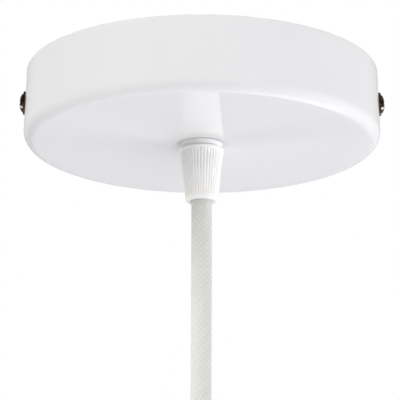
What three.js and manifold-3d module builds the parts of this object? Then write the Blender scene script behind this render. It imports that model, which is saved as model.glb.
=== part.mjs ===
// Ceiling canopy for a pendant lamp: a pressed steel cup held by two side screws on a bent
// ceiling bracket, with a plastic cord grip, a three-pole terminal strip and a textile cable.
// Millimetres, +Z up. The origin is the middle of the bracket's back face, in the ceiling plane.

import * as THREE from "three";
import { mergeVertices } from "three/addons/utils/BufferGeometryUtils.js";
import Module from "manifold-3d";

const wasm = await Module();
wasm.setup();

// Driving dimensions

// Clearance between neighbours that seat on, pass through or line up with each other.
const fitGap = 0.3;

// How far a cut runs on past the face that it opens.
const cutPast = 1;

// Canopy cup, drawn from one sheet. The screws pull its thin rim in at the sides.
const cupRadius = 60;
const cupHeight = 25;
const cupWall = 0.8;
const cupBaseFillet = 4;
const cupRimChamfer = 0.3;
const cupPullIn = 0.8;

// Round heads: the cross recess and the shank's tip, as shares of the head and shank.
const recessReach = 0.66;
const recessArm = 0.3;
const recessDepth = 0.65;
const recessBottom = 0.3;
const shankTip = 0.7;
const shankTaper = 0.5;

// Side screws, M4, with a flanged round head.
const sideScrewDrop = 10.5;
const sideScrewRadius = 2;
const sideScrewLength = 9;
const sideScrewFlangeRadius = 4;
const sideScrewFlange = 0.7;
const sideScrewDomeRadius = 3.2;
const sideScrewHeadHeight = 2;

// Ceiling bracket, bent from strip.
const stripWidth = 16;
const stripThickness = 1.5;
const earBendRadius = 3;
const earBelowScrew = 5.5;
const earCornerRadius = 5;
const earToWallGap = 0.6;
const slotWidth = 5;
const slotLength = 20;
const slotToCollar = 3.6;
const collarHeight = 1.5;
const collarRadius = 3.4;

// Cord grip: a threaded body with spring jaws, and a ribbed cone nut that closes them.
const stemRadius = 5;
const stemAboveNut = 2;
const stemChamfer = 0.5;
const flangeRadius = 7.3;
const flangeThickness = 1.6;
const spigotRadius = 5.7;
const spigotLength = 6.9;
const jawLength = 6;
const jawTopRadius = 5.2;
const jawTipRadius = 4.6;
const jawSlotWidth = 1;
const jawSlotExtra = 1.5;
const coneLength = 17;
const coneLipRadius = 7.55;
const coneLipHeight = 0.6;
const coneTopRadius = 7.3;
const coneEndRadius = 5.3;
const coneEndCollar = 1.3;
const coneEndRounding = 0.4;
const ribCount = 40;
const ribDepth = 0.32;
const nutAcrossFlats = 14;
const nutThickness = 3.5;
const nutCornerCut = 0.9;
const nutCornerDrop = 0.54;
const washerRadius = 9;
const washerThickness = 0.8;

// Cable: three cores in a sheath under a textile braid.
const cableRadius = 3.5;
const cableEnd = 119;
const sheathAboveGrip = 3.3;
const coreRadius = 1.1;
const coreCircle = 1.46;
const strandRadius = 0.6;

// Routes of the cores: the rise out of the sheath, the arch over to the poles and the entry.
const coreRise = 2.6;
const coreArch = 4.6;
const middleArch = 6.2;
const coreLean = 2;
const coreSag = 0.4;
const coreShoulder = 0.6;
const coreApproach = 2.6;
const coreApproachLift = 1.1;
const coreEntry = 1.6;
const coreSplay = 1.03;
const strandPastMiddle = 1;

// Shares of the way across and of the way out to the poles, at points along the arch.
const archAcross = [0.3, 0.66, 0.92];
const archOut = [0.4, 0.66];

// Terminal strip.
const poleCount = 3;
const polePitch = 10;
const poleWidth = 8;
const stripBlockLength = 17;
const blockHeight = 13.5;
const shoulderHeight = 9;
const towerLength = 13;
const blockNearFace = 16;
const tubeHeight = 5.5;
const tubeLength = 13;
const tubeRadius = 2.5;
const tubeBoreRadius = 1.5;
const clampScrewRadius = 1.1;
const clampHeadRadius = 1.6;
const clampHeadHeight = 1.7;
const clampScrewOffset = 3.4;
const clampHeadLift = 1;
const clampSlotWidth = 0.5;
const webHeight = 7;
const webThickness = 5;
const blockFixHoleRadius = 1.5;

// Earth connection under the bracket.
const earthScrewToCup = 17;
const earthHeadRadius = 3.7;
const earthHeadHeight = 2.3;
const earthHeadEdge = 0.7;
const earthWasherRadius = 4;
const earthWasherThickness = 0.8;
const ringRadius = 4;
const ringThickness = 0.8;
const barrelRadius = 1.8;
const barrelStart = 4.6;
const barrelLength = 5;
const leadDepth = 2;
const leadStraight = 4;
const leadBow = 9.4;
const leadBowDrop = 7;
const leadTurn = 8.4;
const leadTurnDrop = 2.4;
const leadSwing = 2.6;
const leadLoop = 4.6;
const leadEntry = 3.4;

// Prepared lower end of the cable.
const sleeveLength = 7;
const sleeveOverlap = 3;
const sleeveWall = 0.3;
const sleeveNeckRadius = 3.2;
const sleeveNeckLength = 1.2;
const endCoreLength = 15;
const ferruleLength = 6;
const ferruleRadius = 0.85;

// Heights that follow from the driving dimensions

const cupFilletTop = -(cupHeight - cupBaseFillet);
const cupFloor = -cupHeight + cupWall;
const holeGap = fitGap;
const gripHoleRadius = stemRadius + holeGap;
const screwHoleRadius = sideScrewRadius + holeGap;
const lean = Math.atan(cupPullIn / -cupFilletTop);
const flangeTop = -cupHeight - fitGap;
const flangeBottom = flangeTop - flangeThickness;
const coneTop = flangeBottom - fitGap;
const coneEnd = coneTop - coneLength;
const spigotEnd = flangeBottom - spigotLength;
const jawTip = spigotEnd - jawLength;
const washerBottom = cupFloor + fitGap;
const washerTop = washerBottom + washerThickness;
const nutBottom = washerTop + fitGap;
const nutTop = nutBottom + nutThickness;
const stemTop = nutTop + stemAboveNut;
const sheathTop = stemTop + sheathAboveGrip;
const cableBoreRadius = cableRadius + fitGap;
const blockBottom = cupFloor + fitGap;
const tubeAxis = blockBottom + tubeHeight;
const blockCentre = blockNearFace + stripBlockLength / 2;
const coreHoleRadius = coreRadius + fitGap;
const earthScrewOffset = cupRadius - earthScrewToCup;
const slotCentre = earthScrewOffset - collarRadius - slotToCollar - slotLength / 2;

// Closed mesh with shared vertices, without the slivers that a pole of a revolve leaves.
function closedMesh(geometry) {
  const bare = geometry.clone();
  bare.deleteAttribute("normal");
  bare.deleteAttribute("uv");
  const merged = mergeVertices(bare, 1e-4);
  const corners = merged.index.array;
  const kept = [];
  for (let i = 0; i < corners.length; i += 3) {
    const [a, b, c] = [corners[i], corners[i + 1], corners[i + 2]];
    if (a !== b && b !== c && c !== a) kept.push(a, b, c);
  }
  merged.setIndex(kept);
  return merged;
}

function solid(geometry) {
  const merged = closedMesh(geometry);
  const vertProperties = new Float32Array(merged.attributes.position.array);
  const triVerts = new Uint32Array(merged.index.array);
  return new wasm.Manifold(new wasm.Mesh({ numProp: 3, vertProperties, triVerts }));
}

function geometryOf(manifold) {
  const mesh = manifold.getMesh();
  const geometry = new THREE.BufferGeometry();
  geometry.setAttribute("position", new THREE.BufferAttribute(mesh.vertProperties, 3));
  geometry.setIndex(new THREE.BufferAttribute(mesh.triVerts, 1));
  return geometry;
}

// Revolve about Z. The profile runs counter-clockwise in radius and height.
function revolve(profile, segments) {
  const points = profile.map(([radius, height]) => new THREE.Vector2(radius, height));
  return new THREE.LatheGeometry(points, segments).rotateX(Math.PI / 2);
}

// Ring of rectangular section between two heights, closed on itself.
function tubeRing(outer, inner, bottom, top, segments) {
  const profile = [[inner, bottom], [outer, bottom], [outer, top], [inner, top], [inner, bottom]];
  return revolve(profile, segments);
}

function post(radius, bottom, top, segments) {
  return revolve([[0, bottom], [radius, bottom], [radius, top], [0, top]], segments);
}

// Points of an arc about a centre, from one angle to another, in degrees.
function arc(centreX, centreY, radius, from, to, steps) {
  const points = [];
  for (let i = 0; i <= steps; i += 1) {
    const angle = THREE.MathUtils.degToRad(from + (to - from) * (i / steps));
    points.push([centreX + radius * Math.cos(angle), centreY + radius * Math.sin(angle)]);
  }
  return points;
}

// Round bar along a path, with flat ends.
function bar(path, radius, sides, steps) {
  const section = new THREE.Shape().absarc(0, 0, radius, 0, 2 * Math.PI, false);
  const options = { steps, extrudePath: path, bevelEnabled: false, curveSegments: sides / 2 };
  return new THREE.ExtrudeGeometry(section, options);
}

function straightBar(radius, sides, bottom, top) {
  const path = new THREE.LineCurve3(new THREE.Vector3(0, 0, bottom), new THREE.Vector3(0, 0, top));
  const steps = Math.ceil((top - bottom) / (6 * radius));
  return bar(path, radius, sides, steps);
}

const material = {
  whiteEnamel: [0xf4f4f4, 0.28, 0],
  zincSteel: [0xb9bcbf, 0.38, 1],
  bronze: [0x3b2417, 0.35, 1],
  whitePlastic: [0xf1f1ee, 0.4, 0],
  clearSleeve: [0xf4f4f2, 0.45, 0],
  textile: [0xf0efea, 0.85, 0],
  blockPlastic: [0xe9e7df, 0.5, 0],
  brass: [0xc9a24b, 0.3, 1],
  brownCore: [0x5a3420, 0.5, 0],
  blueCore: [0x2f63b5, 0.5, 0],
  earthCore: [0x7fae2e, 0.5, 0],
  tinned: [0xc4c6c8, 0.35, 1],
};

const canopy = new THREE.Group();

function place(name, geometry, finish, parent = canopy) {
  const [color, roughness, metalness] = material[finish];
  const look = new THREE.MeshStandardMaterial({ color, roughness, metalness });
  const mesh = new THREE.Mesh(closedMesh(geometry), look);
  mesh.name = name;
  parent.add(mesh);
  return mesh;
}

// How far the rim is pulled out of round: in at the side screws, out between them, and
// nothing at the fillet, where the base holds the wall round.
function pullAt(angle, height) {
  const share = Math.max(0, 1 - height / cupFilletTop);
  return -cupPullIn * share * Math.cos(2 * angle);
}

function pullOutOfRound(geometry) {
  const points = geometry.attributes.position;
  for (let i = 0; i < points.count; i += 1) {
    const [x, y, z] = [points.getX(i), points.getY(i), points.getZ(i)];
    const radius = Math.hypot(x, y);
    const stretch = 1 + pullAt(Math.atan2(y, x), z) / radius;
    points.setXYZ(i, x * stretch, y * stretch, z);
  }
  return geometry;
}

// Moves a shape made along Z onto a side screw's axis, square to the leaning wall.
// Its zero height lies on the wall's outer face.
const sideSeat = cupRadius + pullAt(0, -sideScrewDrop);
const sideTurn = Math.PI / 2 - lean;
function onSideAxis(geometry, side) {
  return geometry.rotateY(side * sideTurn).translate(side * sideSeat, 0, -sideScrewDrop);
}

function canopyCup() {
  const filletRadius = cupRadius - cupBaseFillet;
  const profile = [
    [gripHoleRadius, -cupHeight],
    ...arc(filletRadius, cupFilletTop, cupBaseFillet, -90, 0, 5),
    [cupRadius, -cupRimChamfer],
    [cupRadius - cupRimChamfer, 0],
    [cupRadius - cupWall, 0],
    ...arc(filletRadius, cupFilletTop, cupBaseFillet - cupWall, 0, -90, 3),
    [gripHoleRadius, cupFloor],
    [gripHoleRadius, -cupHeight],
  ];
  let cup = solid(pullOutOfRound(revolve(profile, 96)));
  for (const side of [-1, 1]) {
    const drill = onSideAxis(post(screwHoleRadius, -3 * cupWall, 3 * cupWall, 24), side);
    cup = cup.subtract(solid(drill));
  }
  return geometryOf(cup);
}

// Cross recess that narrows towards its bottom, cut from a head's top downwards.
function crossRecess(reach, arm, depth, top) {
  const cross = new THREE.Shape();
  const half = arm / 2;
  const corners = [
    [reach, half], [half, half], [half, reach], [-half, reach], [-half, half], [-reach, half],
  ];
  cross.moveTo(reach, -half);
  for (const [x, y] of corners) cross.lineTo(x, y);
  for (const [x, y] of corners) cross.lineTo(-x, -y);
  const pillar = new THREE.ExtrudeGeometry(cross, { depth: 2 * depth, bevelEnabled: false });
  const mouth = top + depth / 6;
  const floor = top - depth;
  const cone = [[0, floor], [reach * recessBottom, floor], [reach, mouth], [0, mouth]];
  return solid(pillar.translate(0, 0, floor)).intersect(solid(revolve(cone, 12)));
}

// Round-head screw along Z, with the head's underside at height zero and the shank below it.
function roundScrew(shank, shankLength, flange, flangeHeight, dome, headHeight) {
  const crown = headHeight - flangeHeight;
  const curve = arc(0, 0, 1, 0, 90, 5).map(([a, b]) => [dome * a, flangeHeight + crown * b]);
  const profile = [
    [0, -shankLength],
    [shank * shankTip, -shankLength],
    [shank, -shankLength + shank * shankTaper],
    [shank, 0],
    [flange, 0],
    [flange, flangeHeight],
    ...curve,
  ];
  profile[profile.length - 1][0] = 0;
  const [reach, arm] = [dome * recessReach, dome * recessArm];
  const recess = crossRecess(reach, arm, headHeight * recessDepth, headHeight);
  return geometryOf(solid(revolve(profile, 18)).subtract(recess));
}

function stadium(length, width) {
  const half = (length - width) / 2;
  const shape = new THREE.Shape();
  shape.absarc(half, 0, width / 2, -Math.PI / 2, Math.PI / 2, false);
  shape.absarc(-half, 0, width / 2, Math.PI / 2, 1.5 * Math.PI, false);
  return shape;
}

// Outer face of a bracket ear at a height: it follows the leaning wall inside the cup.
function earFace(height) {
  return cupRadius + pullAt(0, height) - cupWall - earToWallGap;
}

// Side view of the bent strip, from one ear's tip over the back to the other.
function bracketOutline() {
  const tip = -(sideScrewDrop + earBelowScrew);
  const innerBend = earBendRadius - stripThickness;
  const innerBendEnd = earFace(-earBendRadius) - stripThickness;
  const outline = new THREE.Shape();
  outline.moveTo(earFace(tip), tip);
  outline.lineTo(earFace(-earBendRadius), -earBendRadius);
  outline.quadraticCurveTo(earFace(0), 0, earFace(0) - earBendRadius, 0);
  outline.lineTo(-earFace(0) + earBendRadius, 0);
  outline.quadraticCurveTo(-earFace(0), 0, -earFace(-earBendRadius), -earBendRadius);
  outline.lineTo(-earFace(tip), tip);
  outline.lineTo(-earFace(tip) + stripThickness, tip);
  outline.lineTo(-innerBendEnd, -earBendRadius);
  const inside = earFace(-stripThickness) - stripThickness;
  outline.quadraticCurveTo(-inside, -stripThickness, -inside + innerBend, -stripThickness);
  outline.lineTo(inside - innerBend, -stripThickness);
  outline.quadraticCurveTo(inside, -stripThickness, innerBendEnd, -earBendRadius);
  outline.lineTo(earFace(tip) - stripThickness, tip);
  outline.closePath();
  return outline;
}

// End view of the strip: straight sides, with the ears' free corners rounded.
function earEndView() {
  const tip = -(sideScrewDrop + earBelowScrew);
  const half = stripWidth / 2;
  const straight = half - earCornerRadius;
  const cornerHeight = tip + earCornerRadius;
  const view = new THREE.Shape();
  view.moveTo(-half, stripThickness);
  view.lineTo(-half, cornerHeight);
  view.absarc(-straight, cornerHeight, earCornerRadius, Math.PI, 1.5 * Math.PI, false);
  view.absarc(straight, cornerHeight, earCornerRadius, 1.5 * Math.PI, 2 * Math.PI, false);
  view.lineTo(half, stripThickness);
  view.closePath();
  return view;
}

function ceilingBracket() {
  const outline = { depth: stripWidth, bevelEnabled: false, curveSegments: 6 };
  const bent = new THREE.ExtrudeGeometry(bracketOutline(), outline);
  bent.rotateX(Math.PI / 2).translate(0, stripWidth / 2, 0);
  const ends = { depth: 3 * cupRadius, bevelEnabled: false, curveSegments: 6 };
  const trim = new THREE.ExtrudeGeometry(earEndView(), ends);
  trim.rotateX(Math.PI / 2).rotateZ(Math.PI / 2).translate(-1.5 * cupRadius, 0, 0);
  let bracket = solid(bent).intersect(solid(trim));
  const earInner = -cupWall - earToWallGap - stripThickness;
  for (const side of [-1, 1]) {
    const collar = post(collarRadius, earInner - collarHeight, earInner + stripThickness / 2, 20);
    const drill = post(screwHoleRadius, earInner - 2 * collarHeight, 0, 20);
    bracket = bracket.add(solid(onSideAxis(collar, side))).subtract(solid(onSideAxis(drill, side)));
    const slot = { depth: 3 * stripThickness, bevelEnabled: false, curveSegments: 5 };
    const cut = new THREE.ExtrudeGeometry(stadium(slotLength, slotWidth), slot);
    bracket = bracket.subtract(solid(cut.translate(side * slotCentre, 0, -2 * stripThickness)));
  }
  const earthCollar = post(collarRadius, -stripThickness - collarHeight, -stripThickness / 2, 20);
  const earthDrill = post(screwHoleRadius, -4 * stripThickness, stripThickness, 20);
  bracket = bracket.add(solid(earthCollar.translate(earthScrewOffset, 0, 0)));
  bracket = bracket.subtract(solid(earthDrill.translate(earthScrewOffset, 0, 0)));
  return geometryOf(bracket);
}

// One-piece moulded body: threaded stem, flange, spigot, and jaws split by crossed slots.
function gripBody() {
  const profile = [
    [cableBoreRadius, jawTip],
    [jawTipRadius, jawTip],
    [jawTopRadius, spigotEnd],
    [spigotRadius, spigotEnd],
    [spigotRadius, flangeBottom],
    [flangeRadius - stemChamfer / 2, flangeBottom],
    [flangeRadius, flangeBottom + stemChamfer / 2],
    [flangeRadius, flangeTop],
    [stemRadius, flangeTop],
    [stemRadius, stemTop - stemChamfer],
    [stemRadius - stemChamfer, stemTop],
    [cableBoreRadius, stemTop],
    [cableBoreRadius, jawTip],
  ];
  let body = solid(revolve(profile, 28));
  const slotTop = spigotEnd + jawSlotExtra;
  const slotDepth = slotTop - jawTip + cutPast;
  for (const turn of [0.25, 0.75]) {
    const slot = new THREE.BoxGeometry(3 * spigotRadius, jawSlotWidth, slotDepth);
    slot.translate(0, 0, slotTop - slotDepth / 2).rotateZ(turn * Math.PI);
    body = body.subtract(solid(slot));
  }
  return geometryOf(body);
}

// Radius of the ribbed cone at a height, on the crest of a rib.
function coneCrest(height) {
  const share = (coneTop - height) / coneLength;
  return coneTopRadius + (coneEndRadius - coneTopRadius) * share;
}

// Cone nut. Four facets make each rib: crest, flank, groove, flank. The ribs fade into the
// lip above and into a plain collar at the cable's exit.
function gripCone() {
  const ribTop = coneTop - coneLipHeight;
  const ribEnd = coneEnd + coneEndCollar;
  const rounded = coneEnd + coneEndRounding;
  const outline = [
    [0, coneEnd],
    [coneEndRadius - coneEndRounding, coneEnd],
    [coneCrest(rounded), rounded],
    [coneCrest(ribEnd), ribEnd],
    [coneCrest(ribEnd + ribDepth), ribEnd + ribDepth],
    [coneCrest(ribTop - ribDepth), ribTop - ribDepth],
    [coneCrest(ribTop), ribTop],
    [coneLipRadius, ribTop + ribDepth],
    [coneLipRadius, coneTop],
    [0, coneTop],
  ];
  const outside = revolve(outline, 4 * ribCount);
  const points = outside.attributes.position;
  for (let i = 0; i < points.count; i += 1) {
    const [x, y, z] = [points.getX(i), points.getY(i), points.getZ(i)];
    const onRib = z > ribEnd + ribDepth / 2 && z < ribTop - ribDepth / 2;
    const groove = 0.5 - 0.5 * Math.cos(ribCount * Math.atan2(y, x));
    const radius = Math.hypot(x, y);
    const shrink = onRib ? 1 - (ribDepth * groove) / radius : 1;
    points.setXYZ(i, x * shrink, y * shrink, z);
  }
  const seatTop = spigotEnd - fitGap;
  const throat = jawTip - fitGap;
  const cavity = [
    [0, coneEnd - cutPast],
    [cableBoreRadius, coneEnd - cutPast],
    [cableBoreRadius, throat],
    [jawTipRadius + fitGap, throat],
    [jawTopRadius + fitGap, seatTop],
    [spigotRadius + fitGap, seatTop],
    [spigotRadius + fitGap, coneTop + cutPast],
    [0, coneTop + cutPast],
  ];
  return geometryOf(solid(outside).subtract(solid(revolve(cavity, 32))));
}

function hexNut() {
  const corner = nutAcrossFlats / Math.sqrt(3);
  const blank = revolve([[0, 0], [corner, 0], [corner, nutThickness], [0, nutThickness]], 6);
  const dressed = revolve([
    [0, 0],
    [corner, 0],
    [corner, nutThickness - nutCornerDrop],
    [corner - nutCornerCut, nutThickness],
    [0, nutThickness],
  ], 36);
  const bore = post(gripHoleRadius, -cutPast, nutThickness + cutPast, 32);
  const nut = solid(blank).intersect(solid(dressed)).subtract(solid(bore));
  return geometryOf(nut).translate(0, 0, nutBottom);
}

// Three poles side by side along Y. Each is a block with two towers over its brass tube.
function terminalHousing() {
  const half = stripBlockLength / 2;
  const towerHalf = towerLength / 2;
  const side = new THREE.Shape();
  side.moveTo(-half, 0);
  side.lineTo(half, 0);
  side.lineTo(half, shoulderHeight);
  side.lineTo(towerHalf, shoulderHeight + (half - towerHalf) / 2);
  side.lineTo(towerHalf, blockHeight);
  side.lineTo(-towerHalf, blockHeight);
  side.lineTo(-towerHalf, shoulderHeight + (half - towerHalf) / 2);
  side.lineTo(-half, shoulderHeight);
  side.closePath();
  const reach = (poleCount - 1) * polePitch;
  const web = new THREE.BoxGeometry(webThickness, reach, webHeight).translate(0, 0, webHeight / 2);
  let housing = solid(web);
  const cuts = [];
  for (let pole = 0; pole < poleCount; pole += 1) {
    const y = pole * polePitch - reach / 2;
    const block = new THREE.ExtrudeGeometry(side, { depth: poleWidth, bevelEnabled: false });
    block.rotateX(Math.PI / 2).translate(0, y + poleWidth / 2, 0);
    housing = housing.add(solid(block));
    const bore = post(tubeRadius + fitGap, -stripBlockLength, stripBlockLength, 16);
    cuts.push(bore.rotateY(Math.PI / 2).translate(0, y, tubeHeight));
    for (const end of [-1, 1]) {
      const well = post(clampHeadRadius + fitGap, tubeHeight, blockHeight + cutPast, 12);
      cuts.push(well.translate(end * clampScrewOffset, y, 0));
    }
    if (pole > 0) {
      const hole = post(blockFixHoleRadius, -cutPast, webHeight + cutPast, 12);
      cuts.push(hole.translate(0, y - polePitch / 2, 0));
    }
  }
  for (const cut of cuts) housing = housing.subtract(solid(cut));
  return geometryOf(housing).translate(blockCentre, 0, blockBottom);
}

function terminalTube(y) {
  const ring = tubeRing(tubeRadius, tubeBoreRadius, -tubeLength / 2, tubeLength / 2, 16);
  let tube = solid(ring.rotateY(Math.PI / 2));
  for (const end of [-1, 1]) {
    const tapped = post(clampScrewRadius + fitGap, 0, 2 * tubeRadius, 12);
    tube = tube.subtract(solid(tapped.translate(end * clampScrewOffset, 0, 0)));
  }
  return geometryOf(tube).translate(blockCentre, y, tubeAxis);
}

// Slotted clamp screw: its tip stops just over the strand, its head stands in the well.
function clampScrew() {
  const tip = strandRadius + fitGap;
  const headBottom = tubeRadius + clampHeadLift;
  const headTop = headBottom + clampHeadHeight;
  const profile = [
    [0, tip],
    [clampScrewRadius * shankTip, tip],
    [clampScrewRadius, tip + clampScrewRadius * shankTaper],
    [clampScrewRadius, headBottom],
    [clampHeadRadius, headBottom],
    [clampHeadRadius, headTop],
    [0, headTop],
  ];
  const slot = new THREE.BoxGeometry(3 * clampHeadRadius, clampSlotWidth, clampHeadHeight);
  slot.translate(0, 0, headTop);
  return geometryOf(solid(revolve(profile, 12)).subtract(solid(slot)));
}

// Insulated core along a smooth route, its last stretch stripped to the bare strand.
function strippedCore(route, bareTo) {
  const points = route.map(([x, y, z]) => new THREE.Vector3(x, y, z));
  const path = new THREE.CatmullRomCurve3(points, false, "centripetal");
  const last = points[points.length - 1];
  const start = last.clone().lerp(points[points.length - 2], 0.3);
  const end = new THREE.Vector3(bareTo, last.y, last.z);
  const insulation = solid(bar(path, coreRadius, 8, 14));
  return geometryOf(insulation.add(solid(bar(new THREE.LineCurve3(start, end), strandRadius, 8, 1))));
}

// The cores leave the cable's end side by side, arch over and fan out to their poles.
function coreRoute(pole) {
  const target = (pole - 1) * polePitch;
  const angle = (pole - 1) * (Math.PI / 3);
  const outX = pole === 1 ? -coreCircle : coreCircle * Math.cos(angle);
  const outY = coreCircle * Math.sin(angle);
  const crest = sheathTop + (pole === 1 ? middleArch : coreArch);
  const face = blockNearFace;
  return [
    [outX, outY, sheathTop + fitGap],
    [outX, outY * coreSplay, sheathTop + coreRise],
    [outX + coreLean, target * archAcross[0], crest],
    [face * archOut[0], target * archAcross[1], crest - coreSag],
    [face * archOut[1], target * archAcross[2], (crest + tubeAxis) / 2 + coreShoulder],
    [face - coreApproach, target, tubeAxis + coreApproachLift],
    [face, target, tubeAxis],
    [face + coreEntry, target, tubeAxis],
  ];
}

// Heights of the earth connection, downwards from the bracket's collar.
const ringTop = -stripThickness - collarHeight - fitGap;
const ringBottom = ringTop - ringThickness;
const ringMiddle = (ringTop + ringBottom) / 2;
const barrelAxis = ringTop - barrelRadius;
const earthWasherTop = ringBottom - fitGap;
const earthWasherBottom = earthWasherTop - earthWasherThickness;
const earthSeat = earthWasherBottom - fitGap;

// Ring terminal, stamped and rolled: flat ring, tongue, and a crimp barrel that hangs below them
// and points along +Y.
function earthRing() {
  const ring = tubeRing(ringRadius, screwHoleRadius, -ringThickness / 2, ringThickness / 2, 20);
  const tongueStart = (ringRadius + screwHoleRadius) / 2;
  const tongueLength = barrelStart + barrelRadius / 3 - tongueStart;
  const tongue = new THREE.BoxGeometry(2 * barrelRadius, tongueLength, ringThickness);
  tongue.translate(0, tongueStart + tongueLength / 2, 0);
  const barrel = tubeRing(barrelRadius, coreHoleRadius, 0, barrelLength, 16);
  barrel.rotateX(-Math.PI / 2).translate(0, barrelStart, barrelAxis - ringMiddle);
  const terminal = solid(ring).add(solid(tongue)).add(solid(barrel));
  return geometryOf(terminal).translate(earthScrewOffset, 0, ringMiddle);
}

// From the crimp barrel the lead arches down and back into the earth pole's outer end.
function earthLead() {
  const target = polePitch;
  const face = blockNearFace + stripBlockLength;
  const start = barrelStart + leadDepth;
  const swing = (earthScrewOffset + face) / 2 + leadSwing;
  const route = [
    [earthScrewOffset, start, barrelAxis],
    [earthScrewOffset, start + leadStraight, barrelAxis],
    [earthScrewOffset + coreSag, start + leadTurn, barrelAxis - leadTurnDrop],
    [earthScrewOffset, start + leadBow, barrelAxis - leadBowDrop],
    [swing, target + leadStraight, (barrelAxis + tubeAxis) / 2 - leadLoop],
    [face + leadEntry, target + coreShoulder, tubeAxis + coreShoulder],
    [face, target, tubeAxis],
    [face - coreEntry, target, tubeAxis],
  ];
  return strippedCore(route, blockCentre + clampScrewOffset / 2);
}

// Shrunk sleeve over the cable's lower end, necked in around the cores.
function endSleeve() {
  const inner = cableRadius + fitGap;
  const outer = inner + sleeveWall;
  const top = -cableEnd + sleeveOverlap;
  const bottom = top - sleeveLength;
  const shoulder = -cableEnd - fitGap;
  const profile = [
    [sleeveNeckRadius - sleeveWall, bottom],
    [sleeveNeckRadius, bottom],
    [outer, shoulder - sleeveWall],
    [outer, top],
    [inner, top],
    [inner, shoulder],
    [sleeveNeckRadius - sleeveWall, bottom + sleeveNeckLength],
    [sleeveNeckRadius - sleeveWall, bottom],
  ];
  return revolve(profile, 24);
}

// Assembly

place("canopy_cup", canopyCup(), "whiteEnamel");
place("ceiling_bracket", ceilingBracket(), "zincSteel");

for (const [name, side] of [["side_screw_left", -1], ["side_screw_right", 1]]) {
  const mount = new THREE.Group();
  mount.position.set(side * sideSeat, 0, -sideScrewDrop);
  mount.rotation.y = side * sideTurn;
  canopy.add(mount);
  const screw = roundScrew(
    sideScrewRadius, sideScrewLength, sideScrewFlangeRadius, sideScrewFlange,
    sideScrewDomeRadius, sideScrewHeadHeight,
  );
  place(name, screw, "bronze", mount).position.z = fitGap;
}

place("grip_body", gripBody(), "whitePlastic");
place("grip_cone", gripCone(), "whitePlastic");
const gripWasher = tubeRing(washerRadius, gripHoleRadius, washerBottom, washerTop, 32);
place("grip_washer", gripWasher, "blockPlastic");
place("grip_nut", hexNut(), "whitePlastic");
place("cable_held", straightBar(cableRadius, 12, coneEnd, sheathTop), "textile");

const coreFinish = ["brownCore", "blueCore", "earthCore"];
const coreName = ["live", "neutral", "earth"];
const clampShape = clampScrew();
const strandEnd = blockCentre - strandPastMiddle;
place("terminal_housing", terminalHousing(), "blockPlastic");
for (let pole = 0; pole < poleCount; pole += 1) {
  const y = (pole - (poleCount - 1) / 2) * polePitch;
  place(`core_${coreName[pole]}`, strippedCore(coreRoute(pole), strandEnd), coreFinish[pole]);
  place(`terminal_tube_${pole + 1}`, terminalTube(y), "brass");
  for (const [number, end] of [[1, -1], [2, 1]]) {
    const screw = place(`terminal_screw_${2 * pole + number}`, clampShape, "tinned");
    screw.position.set(blockCentre + end * clampScrewOffset, y, tubeAxis);
  }
}

place("earth_ring", earthRing(), "tinned");
const earthWasher = tubeRing(earthWasherRadius, screwHoleRadius, earthWasherBottom, earthWasherTop, 20);
place("earth_washer", earthWasher.translate(earthScrewOffset, 0, 0), "zincSteel");
const earthShank = -earthSeat - fitGap;
const earthDome = earthHeadRadius - fitGap;
const earthShape = roundScrew(
  sideScrewRadius, earthShank, earthHeadRadius, earthHeadEdge, earthDome, earthHeadHeight,
);
const earthScrew = place("earth_screw", earthShape, "zincSteel");
earthScrew.rotation.x = Math.PI;
earthScrew.position.set(earthScrewOffset, 0, earthSeat);
place("earth_lead", earthLead(), "earthCore");

// Free cable below the grip, held straight by the lamp's weight.
place("cable_free", straightBar(cableRadius, 12, -cableEnd, coneEnd - fitGap), "textile");
place("end_sleeve", endSleeve(), "clearSleeve");
for (let core = 0; core < coreName.length; core += 1) {
  const angle = (core - 1) * (2 * Math.PI / 3);
  const [x, y] = [coreCircle * Math.cos(angle), coreCircle * Math.sin(angle)];
  const top = -cableEnd - fitGap;
  const bottom = top - endCoreLength;
  const end = straightBar(coreRadius, 8, bottom, top).translate(x, y, 0);
  place(`end_core_${coreName[core]}`, end, coreFinish[core]);
  const ferrule = straightBar(ferruleRadius, 8, bottom - fitGap - ferruleLength, bottom - fitGap);
  place(`end_ferrule_${coreName[core]}`, ferrule.translate(x, y, 0), "tinned");
}

export default canopy;
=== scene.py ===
import math

import bmesh
import bpy
import numpy as np
from mathutils import Matrix, Vector


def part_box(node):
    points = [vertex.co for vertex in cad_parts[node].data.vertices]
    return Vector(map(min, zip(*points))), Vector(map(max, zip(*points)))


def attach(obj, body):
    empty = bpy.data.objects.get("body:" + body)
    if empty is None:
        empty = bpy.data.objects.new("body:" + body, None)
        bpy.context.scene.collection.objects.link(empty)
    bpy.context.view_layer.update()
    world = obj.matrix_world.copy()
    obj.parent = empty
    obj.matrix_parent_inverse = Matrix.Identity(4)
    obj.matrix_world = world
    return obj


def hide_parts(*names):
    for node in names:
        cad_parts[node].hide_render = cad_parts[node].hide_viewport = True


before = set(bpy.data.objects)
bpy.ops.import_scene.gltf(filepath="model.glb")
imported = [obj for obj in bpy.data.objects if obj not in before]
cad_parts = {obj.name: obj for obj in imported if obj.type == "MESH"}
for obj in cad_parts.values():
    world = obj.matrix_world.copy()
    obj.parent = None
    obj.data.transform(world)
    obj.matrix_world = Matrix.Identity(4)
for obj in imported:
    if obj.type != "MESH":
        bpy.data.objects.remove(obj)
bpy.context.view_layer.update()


# Camera
# The canopy is seen from a little below its ceiling plane, through a long lens, with the cable
# running out of the lower edge of the picture.

mm = 0.001
view_distance = 1205 * mm
view_pitch = 0.289
view_roll = 0.0037
aim_height = -44.41 * mm
aim_side = -0.57 * mm
picture_px = 400
focal_px = 3598.2

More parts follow.
